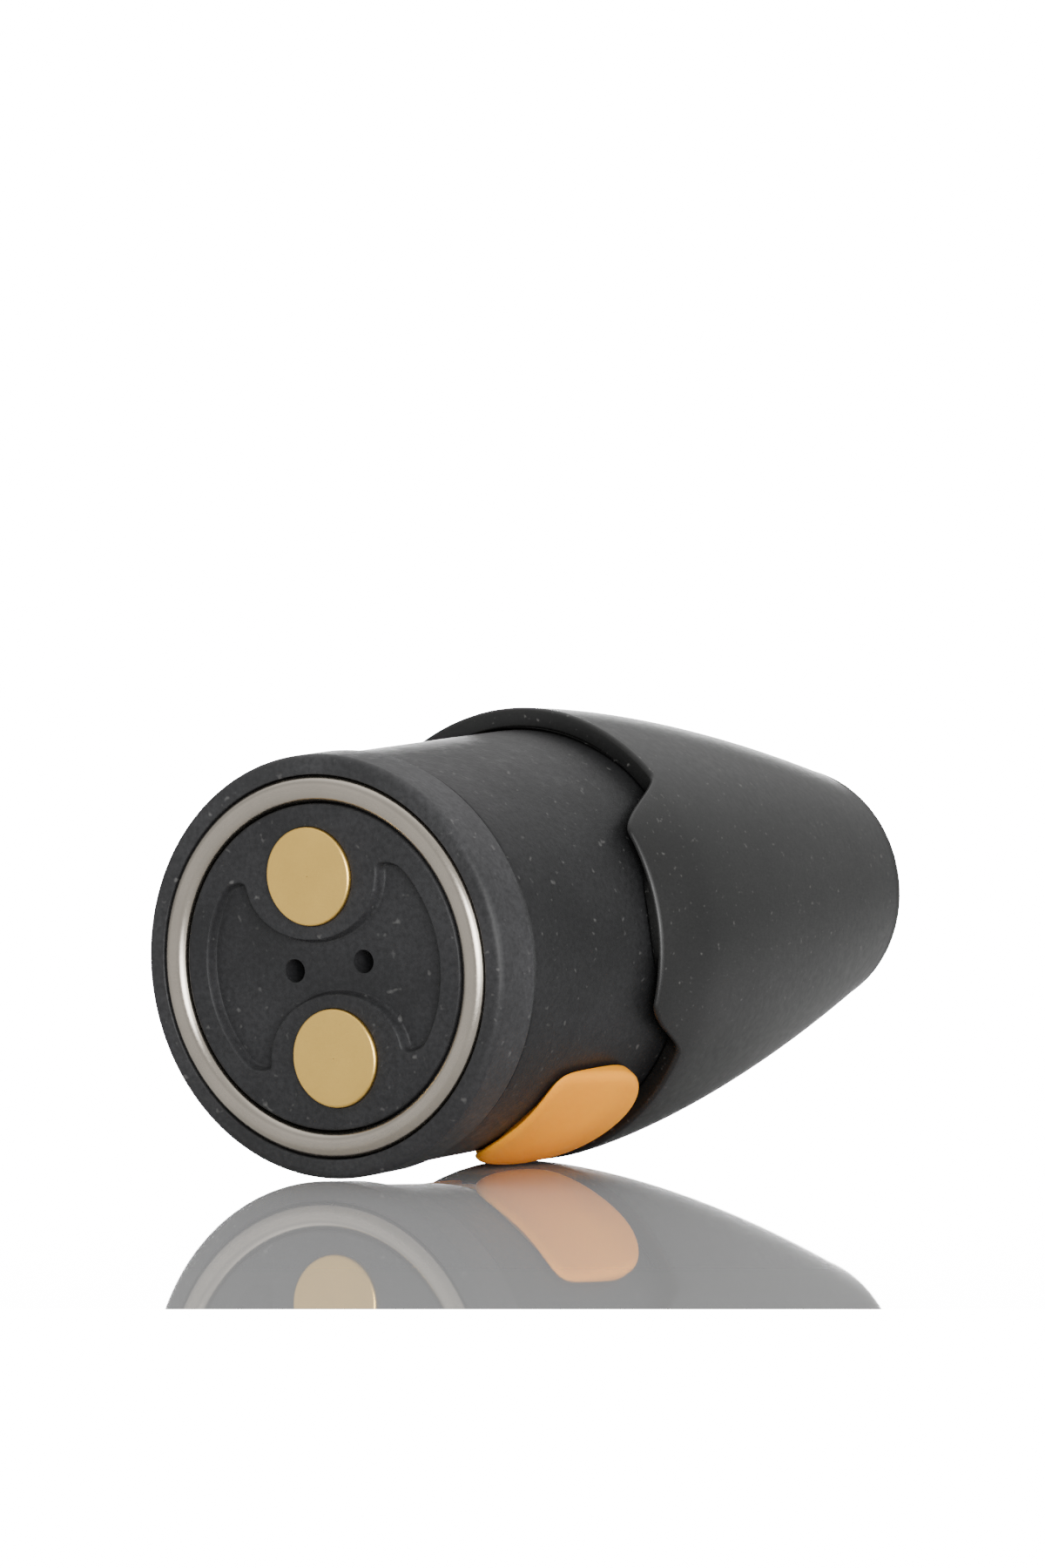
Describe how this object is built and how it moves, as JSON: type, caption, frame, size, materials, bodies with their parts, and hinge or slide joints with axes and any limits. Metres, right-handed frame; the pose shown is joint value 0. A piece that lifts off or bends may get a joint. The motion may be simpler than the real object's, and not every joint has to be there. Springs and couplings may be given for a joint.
{
  "type": "refillable vaporizer pod cartridge",
  "caption": "Round bullet-shaped refillable pod with a magnetic contact base, an exposed tank band and a hinged silicone plug over its side fill port.",
  "frame": {"origin": "centre of the contact face, in the plane of the magnet ring and the two contacts", "axes": "+Z along the pod from the contact face to the mouth end; +Y towards the side with the fill plug and through the two contacts' centres; +X through the air inlets and one side tongue"},
  "size_m": [0.0196, 0.0196, 0.039],
  "materials": {
    "shell_plastic": "fine satin moulded",
    "tank_plastic": "dark tinted, fine eroded texture",
    "cap_plastic": "fine eroded texture",
    "insert_plastic": "fine eroded texture",
    "ring_metal": "nickel plated, satin",
    "contact_metal": "gold plated, fine turned face",
    "fill_silicone": "satin silicone",
    "seal_silicone": "satin silicone",
    "coil_steel": "turned stainless",
    "coil_brass": "turned brass",
    "mesh_alloy": "etched resistance alloy",
    "cotton": "loose organic cotton",
    "ceramic_white": "unfilled insulator"
  },
  "bodies": {
    "pod": {"mouthpiece_shell": "shell_plastic", "tank_body": "tank_plastic", "base_cap": "cap_plastic", "magnet_ring": "ring_metal", "contact_insert": "insert_plastic", "contact_positive": "contact_metal", "contact_negative": "contact_metal", "base_gasket": "seal_silicone", "leak_pad": "cotton", "coil_insulator": "ceramic_white", "coil_housing": "coil_steel", "wick_cotton": "cotton", "heater_mesh": "mesh_alloy", "lead_positive": "mesh_alloy", "lead_negative": "mesh_alloy", "coil_o_ring_lower": "seal_silicone", "coil_o_ring_upper": "seal_silicone", "coil_top_cap": "coil_brass", "chimney_tube": "coil_steel", "top_seal": "seal_silicone", "condensate_pads": "cotton", "plug_anchor": "fill_silicone"},
    "plug": {"fill_plug": "fill_silicone"}
  },
  "joints": [
    {"name": "plug_hinge", "type": "hinge", "parent": "pod", "child": "plug", "pos_m": [-0.0009, 0.00857, 0.0104], "axis": [0, 0, 1], "range_deg": [0, 105]}
  ]
}
